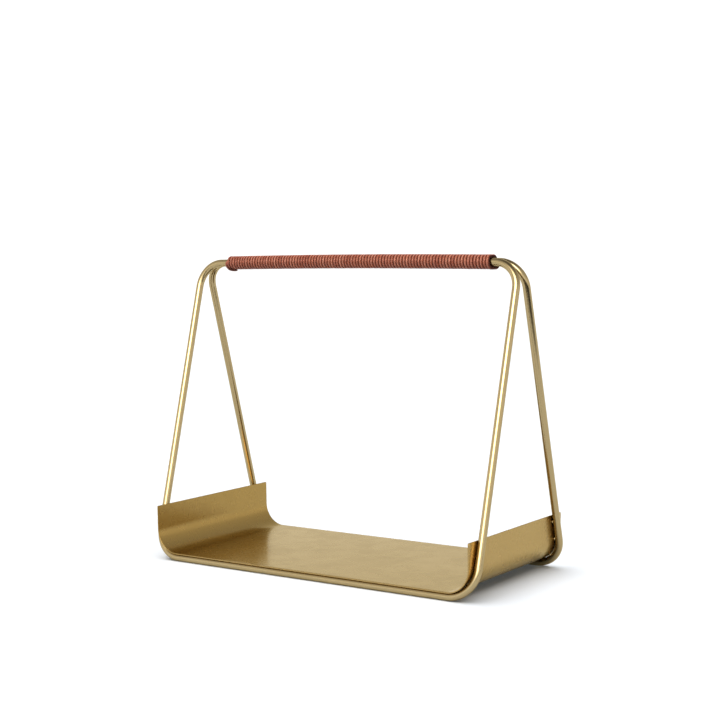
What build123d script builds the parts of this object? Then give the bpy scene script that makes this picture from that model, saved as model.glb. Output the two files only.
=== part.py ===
from build123d import *
import math
import os

# Magazine rack: two rounded wire loops lean together into a handle, and a U-shaped
# sheet tray sits inside them. Millimetres, +Z up, +X along the handle, the front is -Y,
# and the origin is on the floor under the middle of the rack.

# Overall size
rack_length = 414.0
rack_depth = 195.0
loop_top = 330.0  # top of the rods; the lace stands a little above it

# Wire loops
rod_diameter = 8.0
loop_bend_radius = 30.0  # bottom corners, to the middle of the rod
top_bend_radius = 27.0

# Tray: one bent sheet with an upturned wall at each end
sheet_thickness = 1.2
tray_depth = 195.0
tray_wall_top = 60.0  # above the floor
wall_corner_radius = 1.2

# Lace wound round both top bars, by hand and so a little off centre
lace_thickness = 3.5
wrap_left_end = -164.0
wrap_right_end = 174.0

# Tack welds: small round beads in the grooves beside the rods
tack_radius = 0.9
wall_tack_heights = (34.0, 53.0)
bend_tack_angle = 45.0  # round the bend, from the floor towards the wall
floor_tack_spacing = 110.0
floor_tack_count = 3
top_tack_spacing = 120.0
top_tack_count = 3

# Worked out from the sizes above
rod_radius = rod_diameter / 2
upright_x = rack_length / 2 - rod_radius
bottom_bar_y = rack_depth / 2 - rod_radius
top_bar_y = rod_radius
top_bar_z = loop_top - rod_radius
loop_rise = top_bar_z - rod_radius
lean = math.atan2(bottom_bar_y - top_bar_y, loop_rise)
loop_height = loop_rise / math.cos(lean)
wall_x = upright_x - rod_radius
tray_bottom_z = rod_diameter
tray_bend_radius = loop_bend_radius - rod_radius  # outer face of the sheet


def loop_plane(side):
    """The leaning plane of one loop, with its origin in the middle of the bottom bar.

    side is -1 for the front loop and 1 for the rear loop."""
    return Plane(
        origin=(0, side * bottom_bar_y, rod_radius),
        x_dir=(-side, 0, 0),
        z_dir=(0, side * math.cos(lean), math.sin(lean)),
    )


def wire_loop(side):
    """One closed rod, bent to a rounded rectangle in its leaning plane."""
    with BuildPart() as loop:
        with BuildLine(loop_plane(side)) as half_path:
            FilletPolyline(
                (0, 0),
                (upright_x, 0),
                (upright_x, loop_height),
                (0, loop_height),
                radius=(loop_bend_radius, top_bend_radius),
            )
        with BuildSketch(Plane(origin=half_path.line @ 0, z_dir=half_path.line % 0)):
            Circle(rod_radius)
        sweep(path=half_path.line)
        mirror(about=Plane.YZ)
    return loop


def groove_reach(rod_to_sheet, axis_y=0.0):
    """How far a bead's middle lies from the rod's, along Y, when it touches both rod and sheet.

    rod_to_sheet is from the rod's middle to the sheet, and axis_y is the Y part of the
    rod's direction, as a unit vector."""
    touching = (rod_radius + tack_radius) ** 2 - (rod_to_sheet - tack_radius) ** 2
    return math.sqrt(touching / (1 - axis_y**2))


def row_of(count, spacing):
    """Evenly spaced places along X, centred on the middle of the rack."""
    return [spacing * (index - (count - 1) / 2) for index in range(count)]


def loop_tack_points(side):
    """Middles of the beads that hold one loop to the tray, all on the loop's inner side."""
    # Under the floor, along the bottom bar
    y = bottom_bar_y - groove_reach(rod_radius)
    z = tray_bottom_z - tack_radius
    points = [(x, side * y, z) for x in row_of(floor_tack_count, floor_tack_spacing)]

    # In the bend, where rod and sheet run round together
    angle = math.radians(bend_tack_angle)
    rod_x = upright_x - loop_bend_radius * (1 - math.sin(angle))
    rod_rise = loop_bend_radius * (1 - math.cos(angle))
    rod_y = bottom_bar_y - rod_rise * math.sin(lean)
    rod_z = rod_radius + rod_rise * math.cos(lean)
    bend_x = wall_x - tray_bend_radius
    bend_z = tray_bottom_z + tray_bend_radius
    rod_to_bend = math.hypot(rod_x - bend_x, rod_z - bend_z) - tray_bend_radius
    y = rod_y - groove_reach(rod_to_bend, math.sin(angle) * math.sin(lean))
    x = bend_x + (tray_bend_radius + tack_radius) * math.sin(angle)
    z = bend_z - (tray_bend_radius + tack_radius) * math.cos(angle)
    points += [(end * x, side * y, z) for end in (-1, 1)]

    # On the end walls, beside the uprights
    x = wall_x + tack_radius
    for z in wall_tack_heights:
        rod_y = bottom_bar_y - (z - rod_radius) * math.tan(lean)
        y = rod_y - groove_reach(rod_radius, math.sin(lean))
        points += [(end * x, side * y, z) for end in (-1, 1)]
    return points


# Front and rear loops
front_loop = wire_loop(-1)
front_loop.part.label = "front_loop"
rear_loop = wire_loop(1)
rear_loop.part.label = "rear_loop"

# Tray: a U of sheet that rests on the bottom bars and stands against the uprights
with BuildPart() as tray:
    with BuildSketch(Plane.XZ):
        with BuildLine():
            outer = FilletPolyline(
                (-wall_x, tray_wall_top),
                (-wall_x, tray_bottom_z),
                (wall_x, tray_bottom_z),
                (wall_x, tray_wall_top),
                radius=tray_bend_radius,
            )
            inner_x = wall_x - sheet_thickness
            inner_z = tray_bottom_z + sheet_thickness
            inner = FilletPolyline(
                (-inner_x, tray_wall_top),
                (-inner_x, inner_z),
                (inner_x, inner_z),
                (inner_x, tray_wall_top),
                radius=tray_bend_radius - sheet_thickness,
            )
            Line(outer @ 0, inner @ 0)
            Line(outer @ 1, inner @ 1)
        make_face()
    extrude(amount=tray_depth / 2, both=True)
    wall_corners = tray.edges().filter_by(Axis.X).group_by(Axis.Z)[-1]
    fillet(wall_corners, radius=wall_corner_radius)
tray.part.label = "tray"

# Handle wrap: the closed outer shape of the lace, a sleeve round both top bars
with BuildPart() as handle_lace:
    with BuildSketch(Plane.YZ.offset(wrap_left_end)):
        with Locations((0, top_bar_z)):
            SlotCenterToCenter(2 * top_bar_y, rod_diameter + 2 * lace_thickness)
            SlotCenterToCenter(2 * top_bar_y, rod_diameter, mode=Mode.SUBTRACT)
    extrude(amount=wrap_right_end - wrap_left_end)
handle_lace.part.label = "handle_lace"


def tack_beads(points):
    """Separate round weld beads, one at each point."""
    with BuildPart() as beads:
        with Locations(*points):
            Sphere(tack_radius)
    return beads


# Tack welds between each loop and the tray
front_loop_tacks = tack_beads(loop_tack_points(-1))
front_loop_tacks.part.label = "front_loop_tacks"
rear_loop_tacks = tack_beads(loop_tack_points(1))
rear_loop_tacks.part.label = "rear_loop_tacks"

# Tack welds between the two top bars, in the groove under them and inside the lace
top_tack_drop = math.sqrt((rod_radius + tack_radius) ** 2 - top_bar_y**2)
top_tack_z = top_bar_z - top_tack_drop
top_bar_tacks = tack_beads([(x, 0, top_tack_z) for x in row_of(top_tack_count, top_tack_spacing)])
top_bar_tacks.part.label = "top_bar_tacks"

os.makedirs("parts", exist_ok=True)
export_step(front_loop.part, "parts/front_loop.step")
export_step(rear_loop.part, "parts/rear_loop.step")
export_step(tray.part, "parts/tray.step")
export_step(handle_lace.part, "parts/handle_lace.step")
export_step(front_loop_tacks.part, "parts/front_loop_tacks.step")
export_step(rear_loop_tacks.part, "parts/rear_loop_tacks.step")
export_step(top_bar_tacks.part, "parts/top_bar_tacks.step")
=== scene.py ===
import math

import bmesh
import bpy
import numpy as np
from mathutils import Matrix, Vector, noise


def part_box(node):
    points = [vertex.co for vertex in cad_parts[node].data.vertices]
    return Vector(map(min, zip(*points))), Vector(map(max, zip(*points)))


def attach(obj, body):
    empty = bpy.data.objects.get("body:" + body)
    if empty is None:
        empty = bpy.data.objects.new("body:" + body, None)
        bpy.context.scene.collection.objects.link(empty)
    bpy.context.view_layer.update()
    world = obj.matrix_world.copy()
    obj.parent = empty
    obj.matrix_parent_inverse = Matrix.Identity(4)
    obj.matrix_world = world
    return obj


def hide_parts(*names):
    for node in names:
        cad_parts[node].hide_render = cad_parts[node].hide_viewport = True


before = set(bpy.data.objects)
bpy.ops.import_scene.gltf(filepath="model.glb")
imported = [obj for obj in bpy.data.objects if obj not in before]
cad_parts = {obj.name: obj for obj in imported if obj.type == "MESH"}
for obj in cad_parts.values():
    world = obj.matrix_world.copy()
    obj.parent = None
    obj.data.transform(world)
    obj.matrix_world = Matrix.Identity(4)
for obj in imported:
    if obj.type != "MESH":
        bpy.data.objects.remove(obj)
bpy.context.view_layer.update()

MM = 0.001

# Sizes that the frame gives
tray_low, tray_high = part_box("tray")
loop_low, loop_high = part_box("front_loop")
lace_low, lace_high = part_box("handle_lace")
ROD_RADIUS = tray_low.z / 2  # the tray lies on the bottom bars
UPRIGHT_X = loop_high.x - ROD_RADIUS
BOTTOM_BAR_Y = -loop_low.y - ROD_RADIUS
TOP_BAR_Z = loop_high.z - ROD_RADIUS
LEAN = math.atan2(BOTTOM_BAR_Y - ROD_RADIUS, TOP_BAR_Z - ROD_RADIUS)
LOOP_HEIGHT = (TOP_BAR_Z - ROD_RADIUS) / math.cos(LEAN)
LACE_THICKNESS = lace_high.z - loop_high.z

# Sizes that the frame's boxes don't show
BOTTOM_BEND = 30 * MM  # to the middle of the rod
TOP_BEND = 27 * MM
TRAY_BEND = BOTTOM_BEND - ROD_RADIUS  # outer face of the sheet
SHEET = 1.2 * MM
SHEET_EDGE_ROUND = 0.3 * MM
WALL_CORNER_ROUND = 1.2 * MM


# ---------------------------------------------------------------- meshes


def placed(name, data):
    """A new object in the scene that shows this mesh, lamp or camera."""
    piece = bpy.data.objects.new(name, data)
    bpy.context.scene.collection.objects.link(piece)
    return piece


def skin(name, rows, along, around, close_rows=False, cap_ends=False):
    """Smooth quad tube through rows of points, each row a closed ring.

    along and around are the UV values of the rows and of the columns. Each has one more
    entry than there are points in its direction, if the mesh closes on itself that way."""
    rows = np.asarray(rows, float)
    count, ring = rows.shape[:2]
    bands = count if close_rows else count - 1
    faces = []
    uvs = []
    for i in range(bands):
        here = i * ring
        there = (i + 1) % count * ring
        for j in range(ring):
            k = (j + 1) % ring
            faces.append((here + j, there + j, there + k, here + k))
            uvs += [
                (along[i], around[j]),
                (along[i + 1], around[j]),
                (along[i + 1], around[j + 1]),
                (along[i], around[j + 1]),
            ]
    if cap_ends:
        faces.append(tuple(range(ring)))
        faces.append(tuple((count - 1) * ring + j for j in reversed(range(ring))))
        uvs += [(along[0], around[j]) for j in range(ring)]
        uvs += [(along[-1], around[j]) for j in reversed(range(ring))]
    mesh = bpy.data.meshes.new(name)
    mesh.from_pydata(rows.reshape(-1, 3).tolist(), [], faces)
    layer = mesh.uv_layers.new(name="UVMap")
    layer.data.foreach_set("uv", np.array(uvs, np.float32).ravel())
    mesh.validate()
    mesh.shade_smooth()
    return placed(name, mesh)


# ---------------------------------------------------------------- wire loops

ROD_RING = 40
BEND_STEPS = 20
STRAIGHT_STEP = 12 * MM
TOP_BAR_BOW = 1.2 * MM  # upwards, in the middle
ON_TOP_BAR = 0.01 * MM  # a point this near to the loop's full height is on the top bar


def loop_outline():
    """Rod middle line in the loop's own plane, as (across, up, outward angle) round the ring.

    It starts in the middle of the top bar, where the lace hides the join."""
    bottom = UPRIGHT_X - BOTTOM_BEND
    top = UPRIGHT_X - TOP_BEND
    high = LOOP_HEIGHT - TOP_BEND
    corners = [
        (top, high, 90, TOP_BEND),
        (bottom, BOTTOM_BEND, 0, BOTTOM_BEND),
        (-bottom, BOTTOM_BEND, -90, BOTTOM_BEND),
        (-top, high, -180, TOP_BEND),
    ]
    stations = []

    def straight(start, end, angle):
        steps = max(2, round(math.dist(start, end) / STRAIGHT_STEP))
        for i in range(steps):
            t = i / steps
            x = start[0] + (end[0] - start[0]) * t
            y = start[1] + (end[1] - start[1]) * t
            stations.append((x, y, math.radians(angle)))

    start = (0.0, LOOP_HEIGHT)
    for x, y, angle, bend in corners:
        a = math.radians(angle)
        straight(start, (x + bend * math.cos(a), y + bend * math.sin(a)), angle)
        for i in range(BEND_STEPS):
            b = math.radians(angle - 90 * i / BEND_STEPS)
            stations.append((x + bend * math.cos(b), y + bend * math.sin(b), b))
        b = math.radians(angle - 90)
        start = (x + bend * math.cos(b), y + bend * math.sin(b))
    straight(start, (0.0, LOOP_HEIGHT), -270)
    return stations


def top_bow(x):
    """How far the top bars arch upwards, as hand-bent rods do."""
    half = UPRIGHT_X - TOP_BEND
    if abs(x) >= half:
        return 0.0
    return TOP_BAR_BOW * math.cos(math.pi / 2 * x / half)


def wire_loop(name, side):
    """One closed rod in its leaning plane; side is -1 for the front loop and 1 for the rear."""
    origin = Vector((0, side * BOTTOM_BAR_Y, ROD_RADIUS))
    up = Vector((0, -side * math.sin(LEAN), math.cos(LEAN)))
    right = Vector((1, 0, 0))
    normal = right.cross(up)
    rows = []
    middles = []
    for x, y, angle in loop_outline():
        middle = origin + right * x + up * y
        if y > LOOP_HEIGHT - ON_TOP_BAR:
            middle.z += top_bow(x)
        outward = right * math.cos(angle) + up * math.sin(angle)
        middles.append(middle)
        row = []
        for j in range(ROD_RING):
            a = 2 * math.pi * j / ROD_RING
            row.append(middle + (outward * math.cos(a) + normal * math.sin(a)) * ROD_RADIUS)
        rows.append(row)
    along = [0.0]
    for i, middle in enumerate(middles):
        along.append(along[-1] + (middles[(i + 1) % len(middles)] - middle).length)
    around = [j / ROD_RING for j in range(ROD_RING + 1)]
    return skin(name, rows, along, around, close_rows=True)


# ---------------------------------------------------------------- tray

FLOOR_COLUMNS = 60
BEND_COLUMNS = 18
WALL_COLUMNS = 14
CORNER_COLUMNS = 6
TRAY_ROWS = 56
EDGE_STEPS = 4
SHEET_WAVE = 0.06 * MM  # the floor isn't perfectly flat
WAVES_ALONG, WAVES_ACROSS = 9, 12  # per metre
WAVE_NOISE_LAYER = 3.1
WAVE_FADE = 20 * MM  # before the bends


def tray_columns():
    """Places along the flat sheet, from the middle of its floor outwards, for one half."""
    flat = tray_high.x - TRAY_BEND
    middle_bend = (TRAY_BEND - SHEET / 2) * math.pi / 2
    wall = tray_high.z - tray_low.z - TRAY_BEND
    end = flat + middle_bend + wall
    places = list(np.linspace(0, flat, FLOOR_COLUMNS // 2 + 1))
    places += list(np.linspace(flat, flat + middle_bend, BEND_COLUMNS + 1))[1:]
    corner = end - WALL_CORNER_ROUND
    places += list(np.linspace(flat + middle_bend, corner, WALL_COLUMNS + 1))[1:]
    rounding = WALL_CORNER_ROUND - SHEET_EDGE_ROUND
    for i in range(1, CORNER_COLUMNS + 1):
        places.append(corner + rounding * math.sin(math.pi / 2 * i / CORNER_COLUMNS))
    return places, flat, middle_bend, end


def bent(s, y, lift, flat, middle_bend):
    """A point of the flat sheet, at s along it and lift above its middle, bent to the tray's U."""
    side = -1 if s < 0 else 1
    s = abs(s)
    radius = TRAY_BEND - SHEET / 2
    floor_z = tray_low.z + SHEET / 2
    if s <= flat:
        spot = Vector((side * s * WAVES_ALONG, y * WAVES_ACROSS, WAVE_NOISE_LAYER))
        wave = SHEET_WAVE * noise.noise(spot)
        fade = min(1.0, (flat - s) / WAVE_FADE)
        return (side * s, y, floor_z + lift + wave * fade)
    turn = min((s - flat) / radius, math.pi / 2)
    x = flat + (radius - lift) * math.sin(turn)
    z = floor_z + radius - (radius - lift) * math.cos(turn)
    z += max(0.0, s - flat - middle_bend)
    return (side * x, y, z)


def rim_of(columns, rows):
    """The grid's outermost (column, row) pairs, once round."""
    rim = [(0, r) for r in range(rows)]
    rim += [(c, rows - 1) for c in range(1, columns)]
    rim += [(columns - 1, r) for r in range(rows - 2, -1, -1)]
    rim += [(c, 0) for c in range(columns - 2, 0, -1)]
    return rim


def rim_normals(outline):
    """For each point of a closed outline on the flat sheet, the way out of the sheet."""
    normals = []
    for i in range(len(outline)):
        step = (outline[(i + 1) % len(outline)] - outline[i - 1]).normalized()
        normals.append(Vector((-step.y, step.x)))
    return normals


def tray_grid(places, corner):
    """(along, across) of the flat sheet's points inside its rounded rim, column by column.

    corner is where the walls' rounded corners start."""
    half_depth = (tray_high.y - tray_low.y) / 2
    inner_corner = WALL_CORNER_ROUND - SHEET_EDGE_ROUND
    grid = []
    for s in places:
        over = max(0.0, abs(s) - corner)
        cut = inner_corner - math.sqrt(max(0.0, inner_corner**2 - over**2))
        depth = half_depth - SHEET_EDGE_ROUND - cut
        grid.append([(s, depth * (2 * r / TRAY_ROWS - 1)) for r in range(TRAY_ROWS + 1)])
    return grid


def edge_profile():
    """(out, lift) at each step round the sheet's rounded edge, from its upper to its lower side."""
    straight_half = SHEET / 2 - SHEET_EDGE_ROUND
    profile = []
    for k in range(1, 2 * EDGE_STEPS):
        a = math.pi * k / (2 * EDGE_STEPS)
        middle = straight_half if k <= EDGE_STEPS else -straight_half
        profile.append((SHEET_EDGE_ROUND * math.sin(a), middle + SHEET_EDGE_ROUND * math.cos(a)))
    return profile


def sheet_faces(grid, add):
    """Faces of both sides and of the rim; add makes a point of the sheet and gives its index."""
    columns, rows = len(grid), len(grid[0])
    top = [[add(s, y, SHEET / 2) for s, y in column] for column in grid]
    bottom = [[add(s, y, -SHEET / 2) for s, y in column] for column in grid]
    faces = []
    for c in range(columns - 1):
        for r in range(rows - 1):
            square = ((c, r), (c + 1, r), (c + 1, r + 1), (c, r + 1))
            faces.append(tuple(top[i][j] for i, j in square))
            faces.append(tuple(bottom[i][j] for i, j in (square[0], *reversed(square[1:]))))
    rim = rim_of(columns, rows)
    normals = rim_normals([Vector(grid[c][r]) for c, r in rim])
    rings = [[top[c][r] for c, r in rim]]
    for out, lift in edge_profile():
        ring = []
        for (c, r), normal in zip(rim, normals):
            away = normal * out
            s, y = grid[c][r]
            ring.append(add(s + away.x, y + away.y, lift))
        rings.append(ring)
    rings.append([bottom[c][r] for c, r in rim])
    for upper, lower in zip(rings, rings[1:]):
        for i in range(len(rim)):
            j = (i + 1) % len(rim)
            faces.append((upper[i], lower[i], lower[j], upper[j]))
    return faces


def sheet_tray(name):
    """The bent sheet with its small rounded edges, as one closed mesh."""
    places, flat, middle_bend, end = tray_columns()
    places = [-p for p in reversed(places[1:])] + places
    verts = []
    flat_uv = []

    def add(s, y, lift):
        verts.append(bent(s, y, lift, flat, middle_bend))
        flat_uv.append((s, y))
        return len(verts) - 1

    faces = sheet_faces(tray_grid(places, end - WALL_CORNER_ROUND), add)
    mesh = bpy.data.meshes.new(name)
    mesh.from_pydata(verts, [], faces)
    layer = mesh.uv_layers.new(name="UVMap")
    corners = np.empty(len(mesh.loops), np.int32)
    mesh.loops.foreach_get("vertex_index", corners)
    layer.data.foreach_set("uv", np.array(flat_uv, np.float32)[corners].ravel())
    made = bmesh.new()
    made.from_mesh(mesh)
    bmesh.ops.recalc_face_normals(made, faces=made.faces)
    made.to_mesh(mesh)
    made.free()
    mesh.shade_smooth()
    return placed(name, mesh)


# ---------------------------------------------------------------- lace

LACE_PITCH = 3.645 * MM
POINTS_PER_TURN = 44
LACE_RING = 14
LACE_SQUARENESS = 2.1  # 2 is an ellipse
LACE_OVERLAP = 1.03
LACE_RADIAL_SCATTER = 0.12 * MM
LACE_SIDE_SCATTER = 0.16 * MM
LACE_TILT = 0.10
LACE_WIDTH_SCATTER = 0.05
END_FLARE = 0.25 * MM
END_TURNS = 1.2  # the last turns, which stand out a little

# Changes per turn, then the place in the noise that they are read from
SIDE_NOISE = (0.9, 7.7, 0)
RADIAL_NOISE = (2.3, 1.3, 0)
TILT_NOISE = (1.7, 0, 5.5)
WIDTH_NOISE = (1.1, 4, 9)

# The free end, in mm from the wrap's left end and the height of the bars' middle
TAIL_POINTS = (
    (3.0, -7.5, 3.5),
    (-0.2, -9.5, 0.5),
    (0.2, -9.6, -3.5),
    (2.5, -7.8, -6.8),
    (6.0, -5.0, -7.9),
    (9.5, -3.0, -7.7),
)
TAIL_STEPS = 10
TAIL_TURN = -2 * MM  # turns the tail's face a little to the left
TAIL_HALF_WIDTH = 1.6 * MM
TAIL_HALF_THICKNESS = 1.25 * MM


def rounded(wave):
    """A sine or cosine drawn out so that the section is between an ellipse and a box."""
    return np.sign(wave) * np.abs(wave) ** (2 / LACE_SQUARENESS)


def strand(name, centres, outward, half_width, half_thickness):
    """A lace: its section carried along the centres, its face turned outward."""
    centres = np.asarray(centres, float)
    outward = np.asarray(outward, float)
    tangent = np.gradient(centres, axis=0)
    tangent /= np.linalg.norm(tangent, axis=1)[:, None]
    outward = outward - tangent * (outward * tangent).sum(1)[:, None]
    outward /= np.linalg.norm(outward, axis=1)[:, None]
    across = np.cross(tangent, outward)
    angle = 2 * np.pi * np.arange(LACE_RING) / LACE_RING
    side = rounded(np.cos(angle))
    lift = rounded(np.sin(angle))
    half_width = np.broadcast_to(half_width, len(centres))[:, None, None]
    half_thickness = np.broadcast_to(half_thickness, len(centres))[:, None, None]
    rows = (
        centres[:, None, :]
        + across[:, None, :] * side[None, :, None] * half_width
        + outward[:, None, :] * lift[None, :, None] * half_thickness
    )
    step = np.linalg.norm(np.diff(centres, axis=0), axis=1)
    along = np.concatenate([[0.0], np.cumsum(step)])
    around = np.arange(LACE_RING + 1) / LACE_RING
    return skin(name, rows, along, around, cap_ends=True)


def round_the_bars(fraction, radius):
    """(y, z, outward y, outward z) on the oval round both top bars, as a share of one turn.

    A turn starts at the top and goes down the front."""
    straight = ROD_RADIUS
    arc = math.pi * radius
    whole = 4 * straight + 2 * arc
    p = (fraction % 1.0) * whole
    if p < straight:
        return -p, radius, 0.0, 1.0
    p -= straight
    if p < arc:
        a = p / radius
        return -straight - radius * math.sin(a), radius * math.cos(a), -math.sin(a), math.cos(a)
    p -= arc
    if p < 2 * straight:
        return -straight + p, -radius, 0.0, -1.0
    p -= 2 * straight
    if p < arc:
        a = p / radius
        return straight + radius * math.sin(a), -radius * math.cos(a), math.sin(a), -math.cos(a)
    p -= arc
    return straight - p, radius, 0.0, 1.0


def uneven(turn, kind):
    """A smooth random value along the lace, from about -1 to 1."""
    rate, y, z = kind
    return noise.noise(Vector((turn * rate, y, z)))


def wound_lace(name):
    """The lace wound round both top bars from end to end, with hand-made unevenness."""
    length = lace_high.x - lace_low.x - LACE_PITCH
    turns = length / LACE_PITCH
    count = int(turns * POINTS_PER_TURN)
    middle_radius = ROD_RADIUS + LACE_THICKNESS / 2
    centres = []
    outward = []
    half_widths = []
    for i in range(count + 1):
        turn = turns * i / count
        end_turn = max(0.0, turn - (turns - END_TURNS)) / END_TURNS
        scatter = LACE_RADIAL_SCATTER * uneven(turn, RADIAL_NOISE)
        radius = middle_radius + scatter + END_FLARE * end_turn
        y, z, ny, nz = round_the_bars(turn, radius)
        x = lace_low.x + LACE_PITCH / 2 + turn * LACE_PITCH
        x += LACE_SIDE_SCATTER * uneven(turn, SIDE_NOISE)
        centres.append((x, y, TOP_BAR_Z + z + top_bow(x)))
        outward.append((LACE_TILT * uneven(turn, TILT_NOISE), ny, nz))
        stretch = 1 + LACE_WIDTH_SCATTER * uneven(turn, WIDTH_NOISE)
        half_widths.append(LACE_PITCH / 2 * LACE_OVERLAP * stretch)
    return strand(name, centres, outward, np.array(half_widths), LACE_THICKNESS / 2)


def smooth_route(points, steps):
    """Evenly stepped Catmull-Rom curve through the points."""
    points = [Vector(p) for p in points]
    padded = [2 * points[0] - points[1], *points, 2 * points[-1] - points[-2]]
    route = []
    for a, b, c, d in zip(padded, padded[1:], padded[2:], padded[3:]):
        second = 2 * a - 5 * b + 4 * c - d
        third = 3 * b - a - 3 * c + d
        for i in range(steps):
            t = i / steps
            route.append(0.5 * (2 * b + (c - a) * t + second * t**2 + third * t**3))
    route.append(points[-1])
    return route


def lace_tail(name):
    """The lace's free end: it leaves the wrap at the left, turns under it and is cut short."""
    points = [(lace_low.x + x * MM, y * MM, TOP_BAR_Z + z * MM) for x, y, z in TAIL_POINTS]
    route = smooth_route(points, TAIL_STEPS)
    outward = [Vector((TAIL_TURN, p.y, p.z - TOP_BAR_Z)).normalized() for p in route]
    return strand(name, route, outward, TAIL_HALF_WIDTH, TAIL_HALF_THICKNESS)


# ---------------------------------------------------------------- weld beads

BEAD_STRETCH = 1.5
BEAD_LUMPS = 0.16
BEAD_LUMP_RATE = 1.4  # lumps per bead radius
BEAD_NOISE_SHIFT = 900  # per metre, so that no two beads have the same lumps
SAME_POINT = 0.01 * MM


def bead_middles(node):
    """Middle and radius of each separate bead in a CAD node."""
    mesh = bmesh.new()
    mesh.from_mesh(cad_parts[node].data)
    bmesh.ops.remove_doubles(mesh, verts=mesh.verts, dist=SAME_POINT)
    waiting = set(mesh.verts)
    middles = []
    while waiting:
        edge = [waiting.pop()]
        found = list(edge)
        while edge:
            vert = edge.pop()
            for link in vert.link_edges:
                other = link.other_vert(vert)
                if other in waiting:
                    waiting.remove(other)
                    edge.append(other)
                    found.append(other)
        low = Vector([min(v.co[k] for v in found) for k in range(3)])
        high = Vector([max(v.co[k] for v in found) for k in range(3)])
        middles.append(((low + high) / 2, (high.x - low.x) / 2))
    mesh.free()
    return sorted(middles, key=lambda m: tuple(m[0]))


def weld_beads(name, node, axis_of):
    """Lumpy beads of weld metal, drawn out along the groove that they lie in."""
    shape = bmesh.new()
    for middle, radius in bead_middles(node):
        axis = axis_of(middle)
        turn = axis.to_track_quat("X", "Z").to_matrix().to_4x4()
        made = bmesh.ops.create_icosphere(shape, subdivisions=3, radius=radius)
        for vert in made["verts"]:
            lump = noise.noise(vert.co / radius * BEAD_LUMP_RATE + middle * BEAD_NOISE_SHIFT)
            vert.co *= 1 + BEAD_LUMPS * lump
            vert.co.x *= BEAD_STRETCH
            vert.co = middle + (turn @ vert.co)
    mesh = bpy.data.meshes.new(name)
    shape.to_mesh(mesh)
    shape.free()
    mesh.shade_smooth()
    return placed(name, mesh)


# ---------------------------------------------------------------- materials

# Brass
ROD_BRASS = (0.365, 0.27, 0.125)
ROD_BRASS_WORN = (0.39, 0.295, 0.145)
ROD_EDGE_TINT = (0.85, 0.75, 0.5, 1)
SHEET_BRASS = (0.35, 0.227, 0.076)
SHEET_BRASS_WORN = (0.375, 0.248, 0.09)
# Painted shade: the sheet's left end turns darker and more saturated, for the darker surroundings
# that it reflects.
SHEET_BRASS_LEFT_END_SHADE = (0.33, 0.207, 0.056)
SHEET_EDGE_TINT = (1.0, 0.92, 0.66, 1)
LEFT_END_SHADE_RANGE = (-150 * MM, -205 * MM)  # along the sheet, from the middle of its floor
CLOUD_SCALE = 14.0  # per metre, as are all the scales
SMUDGE_SCALE = 55.0
ROUGHNESS_SPREAD = 0.03  # each way, from smudges
LACQUER_ROUGHNESS = 0.12

# Leather
LEATHER_DARK = (0.055, 0.01, 0.005)
LEATHER_MIDDLE = (0.34, 0.055, 0.022)
LEATHER_LIGHT = (0.48, 0.115, 0.048)
# Painted highlight on the lace's crowns.
LEATHER_PAINTED_HIGHLIGHT = (0.74, 0.31, 0.2)
LEATHER_SHEEN = (1.0, 0.72, 0.6, 1)
LEATHER_SPECULAR = 0.4
LEATHER_ROUGHNESS = (0.28, 0.4)
PATCH_SCALE = (14.0, 0.6, 1.0)  # along the lace, round it
FIBRE_SCALE = (350.0, 9.0, 1.0)
HIGHLIGHT_PATCH_SCALE = (60.0, 1.0, 1.0)
GRAIN_SCALE = 2600.0
GRAIN_HEIGHT = 0.03 * MM
# Below this band of the section, the lace is dull and darkened to a painted shade between the
# turns.
SHADED_DULL_GROOVE_RANGE = (0.35, 0.9)  # height on the lace's section, 1 on its crown
RIDGE_RANGE = (0.86, 1.0)
MOST_PAINTED_HIGHLIGHT = 0.75
FIBRE_DARKNESS = 0.5
SHADED_FROM = TOP_BAR_Z - 1.5 * MM
SHADED_TO = TOP_BAR_Z - ROD_RADIUS - LACE_THICKNESS
MOST_SHADED = 0.75

# Floor and card
FLOOR_TONES = ((0.86, 0.885, 0.92), (0.87, 0.895, 0.93))
CARD_TONES = ((0.02, 0.02, 0.02), (0.03, 0.03, 0.03))
MOTTLE_SCALE = 6.0
MATT_ROUGHNESS = 0.9

NOISE_RANGE = (0.3, 0.7)  # where most of a noise texture's values lie
MIX_FACTOR, MIX_FIRST, MIX_SECOND, MIX_RESULT = 0, 6, 7, 2  # a Mix node's colour sockets


def new_material(name):
    material = bpy.data.materials.new(name)
    material.use_nodes = True
    nodes = material.node_tree.nodes
    shader = nodes["Principled BSDF"]
    return material, nodes, material.node_tree.links, shader


def stretched_noise(nodes, links, scale, detail, roughness=0.5):
    """Noise on the UV map, in metres, with its own scale along and across."""
    where = nodes.new("ShaderNodeTexCoord")
    mapping = nodes.new("ShaderNodeMapping")
    mapping.inputs["Scale"].default_value = scale
    texture = nodes.new("ShaderNodeTexNoise")
    texture.inputs["Scale"].default_value = 1.0
    texture.inputs["Detail"].default_value = detail
    texture.inputs["Roughness"].default_value = roughness
    links.new(where.outputs["UV"], mapping.inputs["Vector"])
    links.new(mapping.outputs["Vector"], texture.inputs["Vector"])
    return texture.outputs["Fac"]


def solid_noise(nodes, links, scale, detail):
    """Noise in the object's own space, per metre."""
    where = nodes.new("ShaderNodeTexCoord")
    texture = nodes.new("ShaderNodeTexNoise")
    texture.inputs["Scale"].default_value = scale
    texture.inputs["Detail"].default_value = detail
    links.new(where.outputs["Object"], texture.inputs["Vector"])
    return texture.outputs["Fac"]


def coordinate(nodes, links, space, axis):
    """One coordinate of the UV map or of the object's own space."""
    where = nodes.new("ShaderNodeTexCoord")
    split = nodes.new("ShaderNodeSeparateXYZ")
    links.new(where.outputs[space], split.inputs["Vector"])
    return split.outputs[axis]


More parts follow.
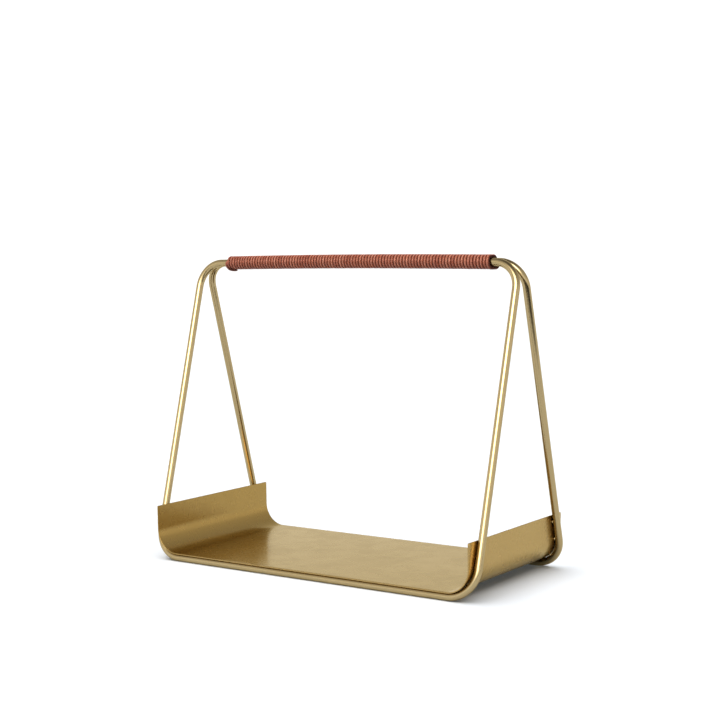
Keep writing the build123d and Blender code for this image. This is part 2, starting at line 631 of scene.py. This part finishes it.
def to_range(nodes, links, value, low, high, source=NOISE_RANGE):
    """The value carried from its source range to low..high, and held there."""
    node = nodes.new("ShaderNodeMapRange")
    node.inputs["From Min"].default_value = source[0]
    node.inputs["From Max"].default_value = source[1]
    node.inputs["To Min"].default_value = low
    node.inputs["To Max"].default_value = high
    links.new(value, node.inputs["Value"])
    return node.outputs["Result"]


def math_node(nodes, links, operation, *values):
    """A Math node's result; each value is a number or another node's output."""
    node = nodes.new("ShaderNodeMath")
    node.operation = operation
    for socket, value in zip(node.inputs, values):
        if isinstance(value, (int, float)):
            socket.default_value = value
        else:
            links.new(value, socket)
    return node.outputs["Value"]


def mixed_colour(nodes, links, factor, first, second):
    """Two colours mixed; each is a tuple or another node's output."""
    node = nodes.new("ShaderNodeMix")
    node.data_type = "RGBA"
    for index, colour in ((MIX_FIRST, first), (MIX_SECOND, second)):
        if isinstance(colour, tuple):
            node.inputs[index].default_value = (*colour, 1)
        else:
            links.new(colour, node.inputs[index])
    links.new(factor, node.inputs[MIX_FACTOR])
    return node.outputs[MIX_RESULT]


def bumped(nodes, links, shader, height, distance):
    node = nodes.new("ShaderNodeBump")
    node.inputs["Distance"].default_value = distance
    node.inputs["Strength"].default_value = 1.0
    links.new(height, node.inputs["Height"])
    links.new(node.outputs["Normal"], shader.inputs["Normal"])


def brass(
    name, plain, worn, edge_tint, streak_scale, base_roughness, streak_height, lacquer, left_end_shade=None
):
    """Lacquered satin brass with fine streaks, and slow changes of tone and gloss.

    The last argument, if given, is a painted shade: the darker, more saturated colour that the
    sheet turns to over the range at its left end."""
    material, nodes, links, shader = new_material(name)
    streaks = stretched_noise(nodes, links, streak_scale, 4.0, 0.6)
    clouds = solid_noise(nodes, links, CLOUD_SCALE, 3.0)
    smudges = solid_noise(nodes, links, SMUDGE_SCALE, 2.0)
    colour = mixed_colour(nodes, links, to_range(nodes, links, clouds, 0.0, 1.0), plain, worn)
    # Painted shade towards the sheet's left end.
    if left_end_shade:
        along = coordinate(nodes, links, "UV", "X")
        left_end_shading = to_range(nodes, links, along, 0.0, 1.0, LEFT_END_SHADE_RANGE)
        colour = mixed_colour(nodes, links, left_end_shading, colour, left_end_shade)
    links.new(colour, shader.inputs["Base Color"])
    smooth = base_roughness - ROUGHNESS_SPREAD
    dull = base_roughness + ROUGHNESS_SPREAD
    links.new(to_range(nodes, links, smudges, smooth, dull), shader.inputs["Roughness"])
    shader.inputs["Metallic"].default_value = 1.0
    shader.inputs["Specular Tint"].default_value = edge_tint
    shader.inputs["Coat Weight"].default_value = lacquer
    shader.inputs["Coat Roughness"].default_value = LACQUER_ROUGHNESS
    bumped(nodes, links, shader, streaks, streak_height)
    return material


def leather_colour(nodes, links, fibres, crown, shaded_and_dull_groove):
    """Patchy red-brown, with painted shade between the turns and under the handle, and a painted
    highlight on the crowns.
    """
    patches = to_range(nodes, links, stretched_noise(nodes, links, PATCH_SCALE, 3.0), 0.0, 1.0)
    colour = mixed_colour(nodes, links, patches, LEATHER_MIDDLE, LEATHER_LIGHT)
    lines = to_range(nodes, links, fibres, 0.0, FIBRE_DARKNESS)
    colour = mixed_colour(nodes, links, lines, colour, LEATHER_DARK)
    # Painted shade on the lace's sides, where the turns meet.
    colour = mixed_colour(nodes, links, shaded_and_dull_groove, colour, LEATHER_DARK)
    # Painted highlight in patches along the crown of each turn.
    ridge = to_range(nodes, links, crown, 0.0, 1.0, RIDGE_RANGE)
    highlight_patches = to_range(nodes, links, stretched_noise(nodes, links, HIGHLIGHT_PATCH_SCALE, 3.0), 0.0, MOST_PAINTED_HIGHLIGHT)
    painted_highlight = math_node(nodes, links, "MULTIPLY", ridge, highlight_patches)
    colour = mixed_colour(nodes, links, painted_highlight, colour, LEATHER_PAINTED_HIGHLIGHT)
    height = coordinate(nodes, links, "Object", "Z")
    shade = to_range(nodes, links, height, 0.0, MOST_SHADED, (SHADED_FROM, SHADED_TO))
    return mixed_colour(nodes, links, shade, colour, LEATHER_DARK)


def leather(name):
    """Waxed leather: fibres along the lace, dull and darkened with painted shade where its sides
    are pressed together.
    """
    material, nodes, links, shader = new_material(name)
    fibres = stretched_noise(nodes, links, FIBRE_SCALE, 5.0, 0.65)
    grain = solid_noise(nodes, links, GRAIN_SCALE, 4.0)
    round_the_lace = coordinate(nodes, links, "UV", "Y")
    angle = math_node(nodes, links, "MULTIPLY", round_the_lace, 2 * math.pi)
    crown = math_node(nodes, links, "SINE", angle)
    # Painted shade and dullness on the lace's sides, between the turns.
    shaded_and_dull_groove = to_range(nodes, links, crown, 1.0, 0.0, SHADED_DULL_GROOVE_RANGE)
    colour = leather_colour(nodes, links, fibres, crown, shaded_and_dull_groove)
    links.new(colour, shader.inputs["Base Color"])
    gloss = to_range(nodes, links, fibres, *LEATHER_ROUGHNESS)
    links.new(math_node(nodes, links, "MAXIMUM", gloss, shaded_and_dull_groove), shader.inputs["Roughness"])
    bumped(nodes, links, shader, math_node(nodes, links, "ADD", fibres, grain), GRAIN_HEIGHT)
    shader.inputs["Specular IOR Level"].default_value = LEATHER_SPECULAR
    shader.inputs["Specular Tint"].default_value = LEATHER_SHEEN
    return material


def matt(name, tones, specular):
    """A dull, faintly mottled surface, for the floor and the card."""
    material, nodes, links, shader = new_material(name)
    mottle = solid_noise(nodes, links, MOTTLE_SCALE, 2.0)
    links.new(mixed_colour(nodes, links, mottle, *tones), shader.inputs["Base Color"])
    shader.inputs["Roughness"].default_value = MATT_ROUGHNESS
    shader.inputs["Specular IOR Level"].default_value = specular
    return material


# ---------------------------------------------------------------- the rack

rod_brass = brass(
    "satin_brass_rod",
    plain=ROD_BRASS,
    worn=ROD_BRASS_WORN,
    edge_tint=ROD_EDGE_TINT,
    streak_scale=(6.0, 60.0, 1.0),
    base_roughness=0.16,
    streak_height=0.0002 * MM,
    lacquer=0.25,
)
sheet_brass = brass(
    "brushed_brass_sheet",
    plain=SHEET_BRASS,
    worn=SHEET_BRASS_WORN,
    edge_tint=SHEET_EDGE_TINT,
    streak_scale=(12.0, 2600.0, 1.0),
    base_roughness=0.27,
    streak_height=0.0002 * MM,
    lacquer=0.15,
    # The sheet's left end gets a painted shade.
    left_end_shade=SHEET_BRASS_LEFT_END_SHADE,
)
weld_metal = brass(
    "weld_metal",
    plain=ROD_BRASS,
    worn=ROD_BRASS_WORN,
    edge_tint=ROD_EDGE_TINT,
    streak_scale=(300.0, 300.0, 1.0),
    base_roughness=0.12,
    streak_height=0.005 * MM,
    lacquer=0.5,
)
lace_leather = leather("reddish_leather")

for node, name, side in (("front_loop", "front_wire_loop", -1), ("rear_loop", "rear_wire_loop", 1)):
    loop = wire_loop(name, side)
    loop.data.materials.append(rod_brass)
    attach(loop, "root")
    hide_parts(node)

tray = sheet_tray("sheet_tray")
tray.data.materials.append(sheet_brass)
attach(tray, "root")
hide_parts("tray")

lace = wound_lace("lace_winding")
tail = lace_tail("lace_tail")
for piece in (lace, tail):
    piece.data.materials.append(lace_leather)
    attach(piece, "root")
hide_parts("handle_lace")


def groove_axis(middle):
    """The way that a bead's groove runs: along the bars, or up from the bend and the wall."""
    if middle.z < tray_low.z or abs(middle.y) < ROD_RADIUS:
        return Vector((1, 0, 0))
    return Vector((0, -math.copysign(math.sin(LEAN), middle.y), math.cos(LEAN)))


for node, name in (
    ("front_loop_tacks", "front_weld_beads"),
    ("rear_loop_tacks", "rear_weld_beads"),
    ("top_bar_tacks", "top_weld_beads"),
):
    beads = weld_beads(name, node, groove_axis)
    beads.data.materials.append(weld_metal)
    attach(beads, "root")
    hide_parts(node)

# ---------------------------------------------------------------- floor, light, camera

FLOOR_HALF = 6.0
FLOOR_SPECULAR = 0.0

CARD_NEAR, CARD_FAR, CARD_HALF = 0.58, 3.0, 1.5
CARD_AZIMUTH = 40
CARD_LIFT = 2 * MM
CARD_SPECULAR = 0.5

WHITE = (1.0, 1.0, 1.0)
COOL = (0.75, 0.9, 1.0)
# Name, where it is, strength, width in degrees, colour, whether it casts a shadow
LAMPS = (
    ("side_lamp", (-65, 72), 0.75, 45, WHITE, True),
    ("overhead_lamp", (0, 84), 3.2, 95, WHITE, True),
    ("fill_lamp", (0, 80), 0.2, 10, COOL, False),
)

SKY = ((0.2, 1.0), (0.34, 0.68), (0.56, 0.62), (0.8, 0.42), (1.0, 0.14))  # height, brightness
SKY_SIDE = 1.32  # factor on SKY at either side
SKY_FRONT_GAIN = 0.22  # added to the factor in front, taken off behind
KEY_AT = (12, 31)  # azimuth and elevation, as for the lamps
KEY_HALF_WIDTHS = (23, 18)  # degrees, to half its radiance
KEY_RADIANCE = 7.6

CAMERA_AZIMUTH = 34.675
CAMERA_ELEVATION = 6.994
CAMERA_ROLL = -0.654
CAMERA_TARGET = Vector((0, 0, 0.15))
CAMERA_DISTANCE = 1.574
CAMERA_LENS = 72.96
CAMERA_SENSOR = 36
CAMERA_SHIFT = (0.0085, 0.0926)
CAMERA_REACH = 50


def facing(azimuth, elevation):
    """Unit vector from the rack; azimuth 0 points to -Y and 90 to +X."""
    a = math.radians(azimuth)
    e = math.radians(elevation)
    return Vector((math.sin(a) * math.cos(e), -math.cos(a) * math.cos(e), math.sin(e)))


def plate(name, corners, material):
    """One flat face that belongs to the stage."""
    mesh = bpy.data.meshes.new(name)
    mesh.from_pydata(corners, [], [(0, 1, 2, 3)])
    mesh.materials.append(material)
    piece = placed(name, mesh)
    return piece


def floor():
    h = FLOOR_HALF
    corners = [(-h, -h, 0), (h, -h, 0), (h, h, 0), (-h, h, 0)]
    plate("floor", corners, matt("plain_floor", FLOOR_TONES, FLOOR_SPECULAR))


def dark_card():
    """A black card on the floor in front, as photographers use; only reflections show it."""
    towards = facing(CARD_AZIMUTH, 0)
    across = towards.cross(Vector((0, 0, 1))) * CARD_HALF
    near = towards * CARD_NEAR + Vector((0, 0, CARD_LIFT))
    far = towards * CARD_FAR + Vector((0, 0, CARD_LIFT))
    corners = [near - across, near + across, far + across, far - across]
    card = plate("dark_card", corners, matt("card_black", CARD_TONES, CARD_SPECULAR))
    card.visible_camera = False
    card.visible_diffuse = False
    card.visible_shadow = False


def camera():
    """The view, looking back along facing() and turned by the roll."""
    r = math.radians(CAMERA_ROLL)
    back = facing(CAMERA_AZIMUTH, CAMERA_ELEVATION)
    right = facing(CAMERA_AZIMUTH + 90, 0)
    up = back.cross(right)
    rolled_right = right * math.cos(r) + up * math.sin(r)
    rolled_up = up * math.cos(r) - right * math.sin(r)
    lens_data = bpy.data.cameras.new("view")
    lens_data.lens = CAMERA_LENS
    lens_data.sensor_width = CAMERA_SENSOR
    lens_data.shift_x, lens_data.shift_y = CAMERA_SHIFT
    lens_data.clip_end = CAMERA_REACH
    piece = placed("view", lens_data)
    matrix = Matrix((rolled_right, rolled_up, back)).transposed().to_4x4()
    matrix.translation = CAMERA_TARGET + back * CAMERA_DISTANCE
    piece.matrix_world = matrix
    bpy.context.scene.camera = piece


def soft_lamp(name, towards, strength, width, colour, casts_shadow):
    """A wide lamp for the floor and the leather; reflections don't show it."""
    lamp = bpy.data.lights.new(name, "SUN")
    lamp.energy = strength
    lamp.angle = math.radians(width)
    lamp.color = colour
    lamp.use_shadow = casts_shadow
    piece = placed(name, lamp)
    piece.rotation_euler = facing(*towards).to_track_quat("Z", "Y").to_euler()
    piece.visible_glossy = False


def along(nodes, links, axis):
    """How far a direction in the world points along this axis, from -1 to 1."""
    where = nodes.new("ShaderNodeTexCoord")
    node = nodes.new("ShaderNodeVectorMath")
    node.operation = "DOT_PRODUCT"
    node.inputs[1].default_value = axis
    links.new(where.outputs["Generated"], node.inputs[0])
    return node.outputs["Value"]


def sky_light(nodes, links):
    """White at the horizon and grey overhead, a little brighter in front than behind."""
    sky = nodes.new("ShaderNodeValToRGB")
    stops = sky.color_ramp.elements
    for stop, (height, grey) in zip(stops, (SKY[0], SKY[-1])):
        stop.position = height
        stop.color = (grey, grey, grey, 1)
    for height, grey in SKY[1:-1]:
        stops.new(height).color = (grey, grey, grey, 1)
    links.new(along(nodes, links, Vector((0, 0, 1))), sky.inputs["Fac"])
    behind = along(nodes, links, Vector((0, 1, 0)))
    gain = math_node(nodes, links, "MULTIPLY", behind, -SKY_FRONT_GAIN)
    factor = math_node(nodes, links, "ADD", gain, SKY_SIDE)
    return math_node(nodes, links, "MULTIPLY", sky.outputs["Color"], factor)


def key_light(nodes, links):
    """A wide oval with a soft edge, in front of the rack and above it."""

    def maths(operation, first, second):
        return math_node(nodes, links, operation, first, second)

    towards = facing(*KEY_AT)
    across = towards.cross(Vector((0, 0, 1))).normalized()
    upward = across.cross(towards)
    spread = 0.0
    for axis, half_width in zip((across, upward), KEY_HALF_WIDTHS):
        share = maths("DIVIDE", along(nodes, links, axis), math.sin(math.radians(half_width)))
        spread = maths("ADD", maths("MULTIPLY", share, share), spread)
    ahead = maths("GREATER_THAN", along(nodes, links, towards), 0.0)
    soft_edge = maths("POWER", 0.5, maths("MULTIPLY", spread, spread))
    return maths("MULTIPLY", maths("MULTIPLY", soft_edge, ahead), KEY_RADIANCE)


def studio_world():
    """What the camera and reflections see round the rack; the lamps light matt surfaces."""
    world = bpy.data.worlds.new("studio")
    world.use_nodes = True
    nodes = world.node_tree.nodes
    links = world.node_tree.links
    total = math_node(nodes, links, "ADD", key_light(nodes, links), sky_light(nodes, links))
    links.new(total, nodes["Background"].inputs["Strength"])
    nodes["Background"].inputs["Color"].default_value = (*WHITE, 1)
    world.cycles_visibility.diffuse = False
    bpy.context.scene.world = world


floor()
dark_card()
for lamp in LAMPS:
    soft_lamp(*lamp)
studio_world()
camera()
bpy.context.scene.view_settings.view_transform = "Standard"
